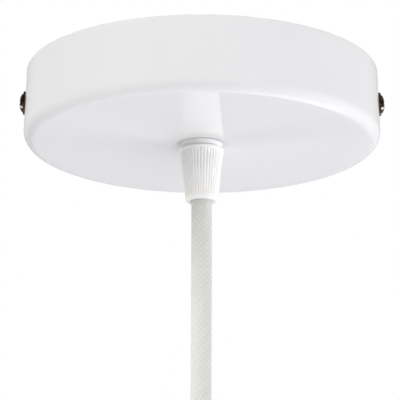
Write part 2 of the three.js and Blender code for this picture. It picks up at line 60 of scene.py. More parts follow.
camera_data = bpy.data.cameras.new("camera")
camera_data.sensor_width = 36
camera_data.lens = focal_px * camera_data.sensor_width / picture_px
camera = bpy.data.objects.new("camera", camera_data)
camera_place = (
    aim_side,
    -view_distance * math.cos(view_pitch),
    aim_height - view_distance * math.sin(view_pitch),
)
look_up = Matrix.Rotation(math.pi / 2 + view_pitch, 4, "X")
camera.matrix_world = Matrix.Translation(camera_place) @ look_up @ Matrix.Rotation(view_roll, 4, "Z")
camera_data.clip_start = 10 * mm
camera_data.clip_end = 40
bpy.context.scene.collection.objects.link(camera)
bpy.context.scene.camera = camera


# Free cable
# A round three-core lamp cable in a white textile braid. Twenty-four bobbins lay its strands, half
# of them climbing to the left and half to the right, each passing over one and under the next.

cable_radius = 3.5 * mm
strands_each_way = 12
strand_lay = 21.6 * mm
strand_rise = 0.09 * mm
strand_crown = 0.12 * mm
yarns_per_strand = 4

cone_low, cone_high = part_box("grip_cone")
cable_low, cable_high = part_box("cable_free")
held_low, held_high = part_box("cable_held")
cable_joint = (cable_high.z + held_low.z) / 2


def skin(name, points, closed=True, crease=38, uv=None, **marks):
    """A grid of points, rows by columns, as a surface. Columns wrap round when it is closed. A first
    or last row that has shrunk to one point becomes a pole. Faces are turned to point outwards: the
    sum of each triangle's corner product, which is six times the volume, is made positive. Marks are
    grids of numbers for the finish to read, such as how deep a point lies in a groove."""
    rows, columns = points.shape[:2]
    flat = points.reshape(-1, 3)
    index = np.arange(rows * columns).reshape(rows, columns)
    right = np.roll(index, -1, axis=1) if closed else index[:, 1:]
    left = index if closed else index[:, :-1]
    poles = [np.ptp(points[row], axis=0).max() < 1e-9 for row in (0, -1)]
    for row, pole in zip((0, -1), poles):
        if pole:
            left[row] = left[row][0]
            right[row] = left[row][0]
    quads = np.stack([left[:-1], right[:-1], right[1:], left[1:]], axis=-1).reshape(-1, 4)
    a, b, c, d = (flat[quads[:, k]] for k in range(4))
    volume = (a * np.cross(b, c)).sum() + (a * np.cross(c, d)).sum()
    if volume < 0:
        quads = quads[:, ::-1]
    faces = [list(dict.fromkeys(quad)) for quad in quads.tolist()]
    mesh = bpy.data.meshes.new(name)
    mesh.from_pydata(flat.tolist(), [], [face for face in faces if len(face) > 2])
    if uv is not None:
        corners = np.zeros(len(mesh.loops), np.int32)
        mesh.loops.foreach_get("vertex_index", corners)
        layer = mesh.uv_layers.new(name="lay")
        layer.data.foreach_set("uv", uv.reshape(-1, 2)[corners].astype(np.float32).ravel())
    for mark, values in marks.items():
        layer = mesh.attributes.new(mark, "FLOAT", "POINT")
        layer.data.foreach_set("value", np.ascontiguousarray(values, np.float32).ravel())
    return finished(name, mesh, crease)


def finished(name, mesh, crease):
    """An object of a mesh, without loose points, smooth except at edges sharper than crease."""
    work = bmesh.new()
    work.from_mesh(mesh)
    loose = [v for v in work.verts if not v.link_faces]
    bmesh.ops.delete(work, geom=loose, context="VERTS")
    work.to_mesh(mesh)
    work.free()
    mesh.polygons.foreach_set("use_smooth", np.ones(len(mesh.polygons), bool))
    mesh.set_sharp_from_angle(angle=math.radians(crease))
    mesh.update()
    piece = bpy.data.objects.new(name, mesh)
    bpy.context.scene.collection.objects.link(piece)
    return piece


def stands_for(piece, slot, *nodes):
    """The piece rides on the canopy's one body and hides the plain solids it refines. Its slot is not
    used.
    """
    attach(piece, "root")
    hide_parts(*nodes)
    return piece


def braid_relief(turn, height):
    """Radius of the braid. The two families of strands are counted by a = n (turn + height / lay) and
    b = n (turn - height / lay). Along its length each strand rises and dips as a sine of the other
    count, opposite to its neighbour, and across its width it is crowned like a parabola. The higher
    of the two families shows."""
    a = strands_each_way * (turn + height / strand_lay)
    b = strands_each_way * (turn - height / strand_lay)
    rise_a = (1 - 2 * (np.floor(a) % 2)) * np.sin(np.pi * b)
    rise_b = -(1 - 2 * (np.floor(b) % 2)) * np.sin(np.pi * a)
    crown_a = 1 - (2 * (a % 1) - 1) ** 2
    crown_b = 1 - (2 * (b % 1) - 1) ** 2
    height_a = strand_rise * rise_a + strand_crown * crown_a
    height_b = strand_rise * rise_b + strand_crown * crown_b
    return cable_radius - strand_rise - strand_crown + np.maximum(height_a, height_b)


def braided_bar(name, low, high, columns, row_step):
    """A straight upright bar: a circle of braid_relief at every height, closed at both ends. Its own
    map counts strands round it and along it, so that the pattern of the finish follows them."""
    rows = int((high - low) / row_step)
    height = np.linspace(low, high, rows)
    height = np.concatenate([[low], height, [high]])[:, None]
    turn = (np.arange(columns) / columns)[None, :]
    radius = braid_relief(turn, height)
    radius[0] = radius[-1] = 0
    angle = 2 * np.pi * turn
    points = np.stack([radius * np.cos(angle), radius * np.sin(angle), height + 0 * radius], axis=-1)
    round_it = turn * strands_each_way + 0 * height
    along_it = height * strands_each_way / strand_lay + 0 * turn
    return skin(name, points, uv=np.stack([round_it, along_it], axis=-1))


def node_tools(tree):
    """Two short ways to build in a node tree. The first adds a node with its settings, and its inputs
    by name or by number, each a value or another node's outlet. The second is one step of arithmetic."""

    def add(kind, settings=None, **inputs):
        node = tree.nodes.new(kind)
        for key, value in (settings or {}).items():
            setattr(node, key, value)
        for key, value in inputs.items():
            numbered = key[0] == "i" and key[1:].isdigit()
            socket = node.inputs[int(key[1:]) if numbered else key]
            if isinstance(value, bpy.types.NodeSocket):
                tree.links.new(value, socket)
            else:
                socket.default_value = value
        return node

    def calc(operation, first, second=0.0):
        return add("ShaderNodeMath", {"operation": operation}, i0=first, i1=second).outputs[0]

    return add, calc


def recipe(name):
    """A new material with its node tree, its main shader and the tree's two tools."""
    material = bpy.data.materials.new(name)
    material.use_nodes = True
    tree = material.node_tree
    return material, tree, tree.nodes["Principled BSDF"], *node_tools(tree)


def reopened(material):
    """A finished material's node tree, main shader, present colour and the tree's two tools."""
    tree = material.node_tree
    shader = tree.nodes["Principled BSDF"]
    return tree, shader, shader.inputs["Base Color"].links[0].from_socket, *node_tools(tree)


def textile_braid():
    """White polyester yarn. The braid's own map gives the strand counts a = u + v and b = u - v. The
    family on top is the one that braid_relief shows, and its yarns are a sine across the strand.
    Painted shade darkens the colour where the strands dip under one another and between the yarns."""
    material, tree, shader, add, calc = recipe("white_textile_braid")
    lay = add("ShaderNodeUVMap", {"uv_map": "lay"}).outputs[0]
    split = add("ShaderNodeSeparateXYZ", i0=lay)
    a = calc("ADD", split.outputs[0], split.outputs[1])
    b = calc("SUBTRACT", split.outputs[0], split.outputs[1])

    def family(own, other, sign):
        parity = calc("MODULO", calc("ADD", calc("FLOOR", own), 4096.0), 2.0)
        side = calc("MULTIPLY_ADD", parity, -2.0 * sign)
        side.node.inputs[2].default_value = sign
        wave = calc("SINE", calc("MULTIPLY", other, math.pi))
        return calc("MULTIPLY", side, wave)

    def crown(own):
        middle = calc("SUBTRACT", calc("MULTIPLY", calc("FRACT", own), 2.0), 1.0)
        return calc("SUBTRACT", 1.0, calc("MULTIPLY", middle, middle))

    height_a = calc("ADD", family(a, b, 1.0), calc("MULTIPLY", crown(a), strand_crown / strand_rise))
    height_b = calc("ADD", family(b, a, -1.0), calc("MULTIPLY", crown(b), strand_crown / strand_rise))
    a_on_top = calc("GREATER_THAN", height_a, height_b)
    across = add("ShaderNodeMix", {"data_type": "FLOAT"}, i0=a_on_top, i2=b, i3=a).outputs[0]
    along = add("ShaderNodeMix", {"data_type": "FLOAT"}, i0=a_on_top, i2=a, i3=b).outputs[0]
    yarn = calc("ABSOLUTE", calc("SINE", calc("MULTIPLY", across, math.pi * yarns_per_strand)))
    fine_across, fine_along = calc("MULTIPLY", across, 14.0), calc("MULTIPLY", along, 2.2)
    cell = add("ShaderNodeCombineXYZ", i0=fine_across, i1=fine_along, i2=a_on_top).outputs[0]
    fibre = add("ShaderNodeTexNoise", Vector=cell, Scale=3.0, Detail=3.0, Roughness=0.6).outputs[0]
    strand_number = add("ShaderNodeCombineXYZ", i0=calc("FLOOR", across), i1=a_on_top)
    strand_tint = add("ShaderNodeTexWhiteNoise", Vector=strand_number.outputs[0]).outputs[0]
    top = calc("MAXIMUM", height_a, height_b)
    # Painted shade: the colour darkens where the top strand lies low, in the dips between strands, and
    # between the yarns.
    gap_shade = add("ShaderNodeMapRange", i0=top, i1=0.1, i2=1.5, i3=0.0, i4=1.0).outputs[0]
    shade = calc("ADD", calc("MULTIPLY", gap_shade, 0.6), calc("MULTIPLY", yarn, 0.25))
    shade = calc("ADD", shade, calc("MULTIPLY", fibre, 0.2))
    shade = calc("ADD", shade, calc("MULTIPLY", strand_tint, 0.06))
    ramp = add("ShaderNodeValToRGB", i0=shade)
    ramp.color_ramp.elements[0].color = (0.465, 0.47, 0.43, 1)
    ramp.color_ramp.elements[1].color = (0.675, 0.68, 0.64, 1)
    relief = calc("ADD", calc("MULTIPLY", yarn, 0.7), calc("MULTIPLY", fibre, 0.5))
    bump = add("ShaderNodeBump", Strength=0.55, Distance=0.06 * mm, Height=relief)
    tree.links.new(ramp.outputs[0], shader.inputs["Base Color"])
    tree.links.new(bump.outputs[0], shader.inputs["Normal"])
    shader.inputs["Roughness"].default_value = 0.82
    shader.inputs["Sheen Weight"].default_value = 1.0
    shader.inputs["Sheen Roughness"].default_value = 0.3
    shader.inputs["Specular IOR Level"].default_value = 0.3
    return material


braid_finish = textile_braid()
cable_columns = 168
cable_row_step = 0.17 * mm
joint_play = 0.02 * mm

cable = braided_bar("textile_cable", cable_low.z, cable_joint, cable_columns, cable_row_step)
cable.data.materials.append(braid_finish)
stands_for(cable, "white_braid", "cable_free")


# Cable end
# Below the braid a shrunk white sleeve holds the braid's cut edge and necks in round the three
# insulated cores, each stripped and crimped in a tinned ferrule ready for a lamp holder.

sleeve_low, sleeve_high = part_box("end_sleeve")
sleeve_wall = 0.3 * mm
sleeve_neck = 3.2 * mm
sleeve_shrink = 4.2 * mm
sleeve_round = 0.15 * mm
sleeve_play = 0.02 * mm
lobe_depth = 0.13
core_radius = 1.1 * mm
core_circle = 1.46 * mm
ferrule_radius = 0.85 * mm
core_order = ["live", "neutral", "earth"]


def revolved(profile, columns, wobble=None):
    """A profile of (radius, height) points turned about the upright axis. Wobble, where given, scales
    the radius by a function of height and angle."""
    profile = np.asarray(profile, float)
    angle = (2 * np.pi * np.arange(columns) / columns)[None, :]
    radius, height = profile[:, :1] + 0 * angle, profile[:, 1:] + 0 * angle
    if wobble is not None:
        radius = radius * wobble(height, angle)
    return np.stack([radius * np.cos(angle), radius * np.sin(angle), height], axis=-1)


def bend(centre, radius, start, end, steps):
    """Points of a circle's arc about a centre of (radius, height), between two angles in degrees."""
    angle = np.radians(np.linspace(start, end, steps))
    across, up = centre[0] + radius * np.cos(angle), centre[1] + radius * np.sin(angle)
    return list(zip(across, up))


def trefoil(height, angle):
    """Three lobes that grow towards the neck, where the sleeve has shrunk onto the three cores."""
    share = np.clip((sleeve_low.z + sleeve_shrink - height) / sleeve_shrink, 0, 1) ** 2
    return 1 - lobe_depth * share * (0.5 - 0.5 * np.cos(3 * angle))


def satin(name, color, dark, roughness, grain_size, relief, **sockets):
    """A dyed or moulded solid finish: a large soft mottle between two near colours, and a fine grain
    that moves both the roughness and the surface."""
    material, tree, shader, add, calc = recipe(name)
    place = add("ShaderNodeTexCoord").outputs["Object"]
    mottle = add("ShaderNodeTexNoise", Vector=place, Scale=1 / (9 * mm), Detail=2.0).outputs[0]
    fine = {"Scale": 1 / grain_size, "Detail": 3.0, "Roughness": 0.55}
    grain = add("ShaderNodeTexNoise", Vector=place, **fine).outputs[0]
    tone = calc("ADD", calc("MULTIPLY", mottle, 0.75), calc("MULTIPLY", grain, 0.25))
    ramp = add("ShaderNodeValToRGB", i0=tone)
    ramp.color_ramp.elements[0].position = 0.3
    ramp.color_ramp.elements[0].color = (*dark, 1)
    ramp.color_ramp.elements[1].position = 0.62
    ramp.color_ramp.elements[1].color = (*color, 1)
    rough = add("ShaderNodeMapRange", i0=grain, i1=0.3, i2=0.7, i3=roughness * 0.88, i4=roughness * 1.12)
    bump = add("ShaderNodeBump", Strength=0.5, Distance=relief, Height=grain)
    tree.links.new(ramp.outputs[0], shader.inputs["Base Color"])
    tree.links.new(rough.outputs[0], shader.inputs["Roughness"])
    tree.links.new(bump.outputs[0], shader.inputs["Normal"])
    for socket, value in sockets.items():
        shader.inputs[socket.replace("_", " ")].default_value = value
    return material


sleeve_white, sleeve_shade = (0.84, 0.84, 0.83), (0.78, 0.78, 0.77)
sleeve_finish = satin("shrunk_white_sleeve", sleeve_white, sleeve_shade, 0.38, 0.8 * mm, 0.02 * mm)
sleeve_outer = cable_radius + 2 * sleeve_wall
sleeve_turn = cable_low.z - sleeve_wall
sleeve_profile = [
    (sleeve_neck - sleeve_wall, sleeve_low.z),
    *bend((sleeve_neck - sleeve_round, sleeve_low.z + sleeve_round), sleeve_round, -90, 0, 4),
    *[
        (sleeve_neck + (sleeve_outer - sleeve_neck) * (0.5 - 0.5 * math.cos(math.pi * t)),
         sleeve_low.z + 0.2 * mm + (sleeve_turn - sleeve_low.z) * t)
        for t in np.linspace(0.06, 1, 16)
    ],
    (sleeve_outer, sleeve_high.z - sleeve_round),
    *bend((sleeve_outer - sleeve_round, sleeve_high.z - sleeve_round), sleeve_round, 20, 90, 4),
    (cable_radius + sleeve_play, sleeve_high.z - 0.05 * mm),
    (cable_radius + sleeve_play, sleeve_turn),
    (sleeve_neck - sleeve_wall, sleeve_low.z + 1.2 * mm),
    (sleeve_neck - sleeve_wall, sleeve_low.z),
]
sleeve = skin("shrunk_sleeve", revolved(sleeve_profile, 72, trefoil), crease=50)
sleeve.data.materials.append(sleeve_finish)
stands_for(sleeve, "clear_sleeve", "end_sleeve")


def swept(name, path, radius, columns=20):
    """A round bar along a path of points: a circle carried square to the path, in a frame that turns
    as little as it can from point to point, with flat closed ends. Its own map runs once round and
    along it in core radii."""
    path = np.asarray(path, float)
    step = np.gradient(path, axis=0)
    tangent = step / np.linalg.norm(step, axis=1, keepdims=True)
    side = np.cross(tangent[0], [0.31, 0.95, 0.05])
    sides = []
    for direction in tangent:
        side = side - direction * (side @ direction)
        side = side / np.linalg.norm(side)
        sides.append(side)
    sides = np.array(sides)
    other = np.cross(tangent, sides)
    angle = (2 * np.pi * np.arange(columns) / columns)[None, :, None]
    circle = np.cos(angle) * sides[:, None] + np.sin(angle) * other[:, None]
    wall = path[:, None] + radius * circle
    ends = [np.repeat(path[k][None, None], columns, axis=1) for k in (0, -1)]
    points = np.concatenate([ends[0], wall[:1], wall, wall[-1:], ends[1]])
    run = np.concatenate([[0], np.cumsum(np.linalg.norm(np.diff(path, axis=0), axis=1))]) / radius
    run = np.concatenate([run[:1], run[:1], run, run[-1:], run[-1:]])[:, None]
    turn = (np.arange(columns) / columns)[None, :]
    return skin(name, points, uv=np.stack([turn + 0 * run, run + 0 * turn], axis=-1))


def insulation(name, color, dark, stripe=None):
    """Smooth drawn plastic over a wire. The earth core's second colour is a stripe on one side of it,
    taken from the bar's own map."""
    material = satin(name, color, dark, 0.34, 1.4 * mm, 0.012 * mm)
    if stripe is None:
        return material
    tree, shader, base, add, calc = reopened(material)
    lay = add("ShaderNodeUVMap", {"uv_map": "lay"}).outputs[0]
    turn = add("ShaderNodeSeparateXYZ", i0=lay).outputs[0]
    edge = add("ShaderNodeMapRange", i0=calc("PINGPONG", turn, 0.5), i1=0.17, i2=0.19).outputs[0]
    mix = add("ShaderNodeMix", {"data_type": "RGBA"}, i0=edge, i6=(*stripe, 1), i7=base)
    tree.links.new(mix.outputs[2], shader.inputs["Base Color"])
    return material


core_finish = {
    "live": insulation("brown_core", (0.2, 0.085, 0.04), (0.15, 0.06, 0.03)),
    "neutral": insulation("blue_core", (0.05, 0.2, 0.56), (0.04, 0.15, 0.45)),
    "earth": insulation("earth_core", (0.09, 0.36, 0.06), (0.07, 0.29, 0.05), stripe=(0.8, 0.68, 0.04)),
}
core_slot = {"live": "brown_insulation", "neutral": "blue_insulation", "earth": "earth_insulation"}


def plated(name, color, roughness, scratch_size, relief, streak=(1, 1, 1)):
    """A plated metal: even colour with faint cloudy tarnish, and fine marks, drawn out along the axes
    that streak makes small, in the roughness and the surface."""
    material, tree, shader, add, calc = recipe(name)
    place = add("ShaderNodeTexCoord").outputs["Object"]
    drawn = add("ShaderNodeMapping", Vector=place, Scale=streak).outputs[0]
    tarnish = {"Scale": 1 / (5 * mm), "Detail": 4.0, "Roughness": 0.6}
    scratch = {"Scale": 1 / scratch_size, "Detail": 5.0, "Roughness": 0.65}
    cloud = add("ShaderNodeTexNoise", Vector=place, **tarnish).outputs[0]
    marks = add("ShaderNodeTexNoise", Vector=drawn, **scratch).outputs[0]
    ramp = add("ShaderNodeValToRGB", i0=cloud)
    ramp.color_ramp.elements[0].position = 0.3
    ramp.color_ramp.elements[0].color = (*[0.8 * c for c in color], 1)
    ramp.color_ramp.elements[1].position = 0.65
    ramp.color_ramp.elements[1].color = (*color, 1)
    rough = add("ShaderNodeMapRange", i0=marks, i1=0.3, i2=0.7, i3=roughness * 0.75, i4=roughness * 1.3)
    bump = add("ShaderNodeBump", Strength=0.4, Distance=relief, Height=marks)
    tree.links.new(ramp.outputs[0], shader.inputs["Base Color"])
    tree.links.new(rough.outputs[0], shader.inputs["Roughness"])
    tree.links.new(bump.outputs[0], shader.inputs["Normal"])
    shader.inputs["Metallic"].default_value = 1
    return material


tinned_finish = plated("tinned_copper", (0.72, 0.72, 0.73), 0.3, 0.5 * mm, 0.02 * mm, (1, 1, 0.2))
end_pieces = [sleeve]
for name in core_order:
    low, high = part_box("end_core_" + name)
    middle = (low + high) / 2
    line = [(middle.x, middle.y, z) for z in np.linspace(high.z, low.z, 12)]
    core = swept(f"cable_end_core_{name}", line, core_radius)
    core.data.materials.append(core_finish[name])
    stands_for(core, core_slot[name], "end_core_" + name)
    low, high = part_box("end_ferrule_" + name)
    rise = high.z - low.z
    crimp = [
        (0, low.z),
        (0.8 * ferrule_radius, low.z),
        *bend((0.8 * ferrule_radius, low.z + 0.2 * ferrule_radius), 0.2 * ferrule_radius, -60, 0, 4),
        *[
            (ferrule_radius * (1 - 0.1 * math.sin(math.pi * 4 * t) ** 2), low.z + rise * (0.1 + 0.75 * t))
            for t in np.linspace(0, 1, 40)
        ],
        (ferrule_radius, high.z - 0.1 * rise),
        (ferrule_radius, high.z),
        (0, high.z),
    ]
    ferrule_points = revolved(crimp, 32) + np.array([middle.x, middle.y, 0])
    ferrule = skin(f"cable_end_ferrule_{name}", ferrule_points)
    ferrule.data.materials.append(tinned_finish)
    stands_for(ferrule, "tinned_steel", "end_ferrule_" + name)
    end_pieces += [core, ferrule]


# Held cable
# The same cable goes on up through the cord grip into the cup, where the braid is cut back a little
# from the end of the white inner sheath.

braid_end = held_high.z - 2.2 * mm
sheath_start = held_high.z - 3 * mm
sheath_round = 0.2 * mm
sheath_radius = 3 * mm

held_cable = braided_bar("textile_cable_held", cable_joint + joint_play, braid_end, 112, 0.26 * mm)
held_cable.data.materials.append(braid_finish)
stands_for(held_cable, "white_braid", "cable_held")
sheath_profile = [
    (0, sheath_start),
    (sheath_radius, sheath_start),
    (sheath_radius, held_high.z - sheath_round),
    *bend((sheath_radius - sheath_round, held_high.z - sheath_round), sheath_round, 0, 90, 5),
    (0, held_high.z),
]
sheath = skin("cable_sheath", revolved(sheath_profile, 48))
sheath.data.materials.append(sleeve_finish)
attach(sheath, "root")


# Canopy cup
# Deep-drawn from 0.8 mm sheet steel with a rounded base edge and powder-coated glossy white. The
# side screws draw its thin open rim in by under a millimetre, so that it bulges between them.

cup_low, cup_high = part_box("canopy_cup")
cup_radius = 60 * mm
cup_wall = 0.8 * mm
cup_fillet = 4 * mm
rim_round = 0.3 * mm
rim_pull = cup_high.y - cup_radius
grip_hole = 5.3 * mm
side_hole = 2.3 * mm
screw_drop = 10.5 * mm
fillet_top = cup_low.z + cup_fillet
fillet_centre = (cup_radius - cup_fillet, fillet_top)


def wall_shift(height, angle):
    """How far the wall moves out: minus pull, times the share of the way up from the fillet to the
    rim, times the cosine of twice the angle from the screws."""
    share = np.clip(1 - height / fillet_top, 0, None)
    return -rim_pull * share * np.cos(2 * angle)


def powder_coat():
    """Glossy white powder coat: a faint long orange peel, a fine grain in its gloss, and barely
    any change of colour."""
    material, tree, shader, add, calc = recipe("white_powder_coat")
    place = add("ShaderNodeTexCoord").outputs["Object"]
    wavy = {"Scale": 1 / (2.2 * mm), "Detail": 1.5, "Roughness": 0.45}
    peel = add("ShaderNodeTexNoise", Vector=place, **wavy).outputs[0]
    grain = add("ShaderNodeTexNoise", Vector=place, Scale=1 / (0.25 * mm), Detail=2.0).outputs[0]
    cloud = add("ShaderNodeTexNoise", Vector=place, Scale=1 / (35 * mm), Detail=2.0).outputs[0]
    tone = calc("ADD", calc("MULTIPLY", cloud, 0.7), calc("MULTIPLY", grain, 0.3))
    ramp = add("ShaderNodeValToRGB", i0=tone)
    ramp.color_ramp.elements[0].position = 0.3
    ramp.color_ramp.elements[0].color = (0.785, 0.785, 0.79, 1)
    ramp.color_ramp.elements[1].position = 0.65
    ramp.color_ramp.elements[1].color = (0.8, 0.8, 0.803, 1)
    rough = add("ShaderNodeMapRange", i0=grain, i1=0.3, i2=0.7, i3=0.07, i4=0.1)
    bump = add("ShaderNodeBump", Strength=0.2, Distance=0.008 * mm, Height=peel)
    tree.links.new(ramp.outputs[0], shader.inputs["Base Color"])
    tree.links.new(rough.outputs[0], shader.inputs["Roughness"])
    tree.links.new(bump.outputs[0], shader.inputs["Normal"])
    shader.inputs["IOR"].default_value = 1.6
    return material


cup_profile = [
    (grip_hole, cup_low.z),
    *[(radius, cup_low.z) for radius in np.linspace(grip_hole, fillet_centre[0], 14)[1:-1]],
    *bend(fillet_centre, cup_fillet, -90, 0, 21),
    *[(cup_radius, height) for height in np.linspace(fillet_top, -rim_round, 10)[1:]],
    *bend((cup_radius - rim_round, -rim_round), rim_round, 20, 90, 5),
    *bend((cup_radius - cup_wall + 0.15 * mm, -0.15 * mm), 0.15 * mm, 90, 180, 4),
    *[(cup_radius - cup_wall, height) for height in np.linspace(-rim_round, fillet_top, 8)[:-1]],
    *bend(fillet_centre, cup_fillet - cup_wall, 0, -90, 13),
    *[(radius, cup_low.z + cup_wall) for radius in np.linspace(fillet_centre[0], grip_hole, 10)[1:]],
    (grip_hole, cup_low.z),
]
cup_points = revolved(cup_profile, 288)
cup_angle = np.arctan2(cup_points[..., 1], cup_points[..., 0])
cup_round = np.hypot(cup_points[..., 0], cup_points[..., 1])
cup_stretch = 1 + wall_shift(cup_points[..., 2], cup_angle) / cup_round
cup_points[..., 0] *= cup_stretch
cup_points[..., 1] *= cup_stretch
cup = skin("powder_coated_cup", cup_points, crease=50)


def bored(piece, *drills):
    """The piece with each drill cut out of it, and the drills gone."""
    for drill in drills:
        cut = piece.modifiers.new("bore", "BOOLEAN")
        cut.operation = "DIFFERENCE"
        cut.solver = "EXACT"
        cut.object = drill
    graph = bpy.context.evaluated_depsgraph_get()
    cut_mesh = bpy.data.meshes.new_from_object(piece.evaluated_get(graph))
    piece.modifiers.clear()
    piece.data = cut_mesh
    for drill in drills:
        bpy.data.objects.remove(drill)
    return piece


wall_lean = math.atan(rim_pull / -fillet_top)
screw_seat = cup_radius + float(wall_shift(-screw_drop, 0))


def on_side_axis(points, side):
    """Points made along an upright axis, laid onto a side screw's axis, square to the leaning wall:
    turned about Y by a right angle less the wall's lean, and moved to the wall's outer face."""
    turn = side * (math.pi / 2 - wall_lean)
    x, y, z = points[..., 0], points[..., 1], points[..., 2]
    c, s = math.cos(turn), math.sin(turn)
    return np.stack([x * c + z * s + side * screw_seat, y, z * c - x * s - screw_drop], axis=-1)


drills = []
drill_end = 3 * mm
drill_profile = [(0, -drill_end), (side_hole, -drill_end), (side_hole, drill_end), (0, drill_end)]
for side in (-1, 1):
    drills.append(skin(f"drill_{side}", on_side_axis(revolved(drill_profile, 48), side)))
cup = bored(cup, *drills)
cup.data.materials.clear()
cup.data.materials.append(powder_coat())
stands_for(cup, "white_enamel", "canopy_cup")


# Side screws
# Cold-headed steel machine screws, plated dark bronze: a thin flange, a low round head with a cross
# recess, and an M4 thread. They pass through the cup's wall into the bracket's ears.

fit_gap = 0.3 * mm
thread_pitch = 0.7 * mm
thread_depth = 0.3 * mm
shank_radius = 2 * mm
flange_round = 0.22 * mm
under_round = 0.12 * mm


def screw_points(flange, flange_height, dome, head_height, length, columns=168):
    """A screw along its axis as rings, from the crown out over the flange and down the thread to the
    tip. The crown is a quarter ellipse, less a recess that deepens inside two crossed bars. The
    thread is a triangle wave of height and turn, whose depth dies away at head and tip."""
    crown = np.linspace(0, 1, 54)
    crown_radius = dome * np.sin(crown * np.pi / 2)
    crown_height = flange_height + (head_height - flange_height) * np.cos(crown * np.pi / 2)
    rim = [
        *bend((flange - flange_round, flange_height - flange_round), flange_round, 80, 0, 5),
        *bend((flange - under_round, under_round), under_round, 0, -90, 4),
        (shank_radius, 0),
    ]
    shank_height = np.linspace(-0.02 * mm, -length + 0.7 * mm, int(length / thread_pitch * 9))
    tip = [(1.55 * mm, -length + 0.35 * mm), (1.3 * mm, -length), (0, -length)]
    profile = np.array(
        [*zip(crown_radius, crown_height), *rim, *[(shank_radius, z) for z in shank_height], *tip]
    )
    angle = (2 * np.pi * np.arange(columns) / columns)[None, :]
    radius, height = profile[:, :1] + 0 * angle, profile[:, 1:] + 0 * angle
    x, y = radius * np.cos(angle), radius * np.sin(angle)
    reach, half = 0.68 * dome, 0.16 * dome
    depth = 0.62 * head_height

    def bar(along, across):
        taper = np.clip((reach - np.abs(along)) / (0.75 * reach), 0, 1) ** 0.6
        wall = np.clip((half - np.abs(across)) / (0.09 * dome) + 0.5, 0, 1)
        return taper * wall * wall * (3 - 2 * wall)

    on_crown = (np.arange(len(profile)) < len(crown))[:, None]
    recess = np.maximum(bar(x, y), bar(y, x)) * depth
    floor = head_height - recess
    height = np.where(on_crown & (recess > 0), np.minimum(height, floor), height)
    turn = angle / (2 * np.pi)
    wave = np.abs(((height / thread_pitch - turn) % 1) * 2 - 1)
    fade_in = np.clip((-height - 0.4 * mm) / (0.8 * mm), 0, 1)
    fade_out = np.clip((height + length - 0.4 * mm) / (0.8 * mm), 0, 1)
    cut = np.where(height < 0, thread_depth * wave * fade_in * fade_out, 0)
    radius = radius - cut * (radius > 0.9 * shank_radius)
    edge = np.where(on_crown, 2 * recess / depth * (1 - np.clip(recess / depth, 0, 1)), 0)
    return np.stack([radius * np.cos(angle), radius * np.sin(angle), height], axis=-1), edge


def dark_bronze():
    """Dark bronze plate. Along the edges of the recess it is rubbed through to pale metal, and a painted
    glint of the same pale, dull metal sits in one place near the crown's foot; one mark holds both."""
    material = plated("dark_bronze_plate", (0.15, 0.1, 0.068), 0.14, 0.35 * mm, 0.012 * mm)
    tree, shader, base, add, calc = reopened(material)
    place = add("ShaderNodeTexCoord").outputs["Object"]
    spots = add("ShaderNodeTexNoise", Vector=place, Scale=1 / (0.9 * mm), Detail=3.0).outputs[0]
    # This mark holds the worn recess edges and the painted glint near the crown's foot, both shown in
    # pale dull metal.
    wear = add("ShaderNodeAttribute", {"attribute_name": "wear"}).outputs["Fac"]
    share = add("ShaderNodeMapRange", i0=calc("ADD", wear, spots), i1=1.15, i2=1.45).outputs[0]
    mix = add("ShaderNodeMix", {"data_type": "RGBA"}, i0=share, i6=base, i7=(0.93, 0.9, 0.84, 1))
    tree.links.new(mix.outputs[2], shader.inputs["Base Color"])
    tree.links.new(calc("SUBTRACT", 1.0, share), shader.inputs["Metallic"])
    return material


bronze_finish = dark_bronze()
# Where each crown's painted glint sits: how far in front of and below the axis, its reach and its soft
# edge.
crown_foot = 0.75 * mm
glint_front = 2.1 * mm
glint_drop = 2.05 * mm
glint_reach = 0.544 * mm
glint_edge = 0.34 * mm
for side, name in ((-1, "left"), (1, "right")):
    points, wear = screw_points(
        flange=4 * mm, flange_height=0.7 * mm, dome=3.2 * mm, head_height=2 * mm, length=9 * mm)
    points[..., 2] += joint_play
    points = on_side_axis(points, side)
    # The painted glint, a pale patch near the front of the crown's foot, is joined to the recess wear.
    below_glint = points[..., 2] + screw_drop + glint_drop
    from_glint = np.hypot(points[..., 1] + glint_front, below_glint / 1.4)
    painted_glint = 1.4 * np.clip((glint_reach - from_glint) / glint_edge, 0, 1)
    on_crown = np.abs(points[..., 0]) > screw_seat + crown_foot
    wear = np.maximum(wear, on_crown * painted_glint)
    screw = skin(f"bronze_screw_{name}", points, crease=40, wear=wear)
    screw.data.materials.append(bronze_finish)
    stands_for(screw, "dark_bronze", f"side_screw_{name}")


# Cord grip
# Injection-moulded white plastic. The body's flange sits under the cup and its split jaws hang in
# the cone nut, whose forty fine ribs give the fingers a hold as it is screwed up onto the cable.

body_low, body_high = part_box("grip_body")
rib_count = 40
rib_depth = 0.27 * mm
cone_top_radius = 7.3 * mm
cone_end_radius = 5.3 * mm
cone_lip = 7.55 * mm
lip_height = 0.6 * mm
lip_round = 0.25 * mm
end_collar = 1.3 * mm
end_round = 0.45 * mm
nut_end = cone_low.z - 0.9 * mm
bore_radius = 3.8 * mm
cable_hole = 3.53 * mm
jaw_tip_radius = 4.6 * mm
jaw_root_radius = 5.2 * mm
seat_radius = 5.5 * mm
throat_radius = 4.9 * mm
throat = cone_low.z + 4.1 * mm
flange_radius = body_high.x
flange_play = 0.005 * mm
flange_top = cup_low.z - flange_play
flange_bottom = cone_high.z + fit_gap
cone_seat = flange_bottom - joint_play
bevel_radius = 5.9 * mm
stem_radius = 5 * mm
stem_chamfer = 0.5 * mm
spigot_radius = 5.7 * mm
spigot_end = flange_bottom - 6.9 * mm
stem_pitch = 1 * mm
stem_thread = 0.45 * mm


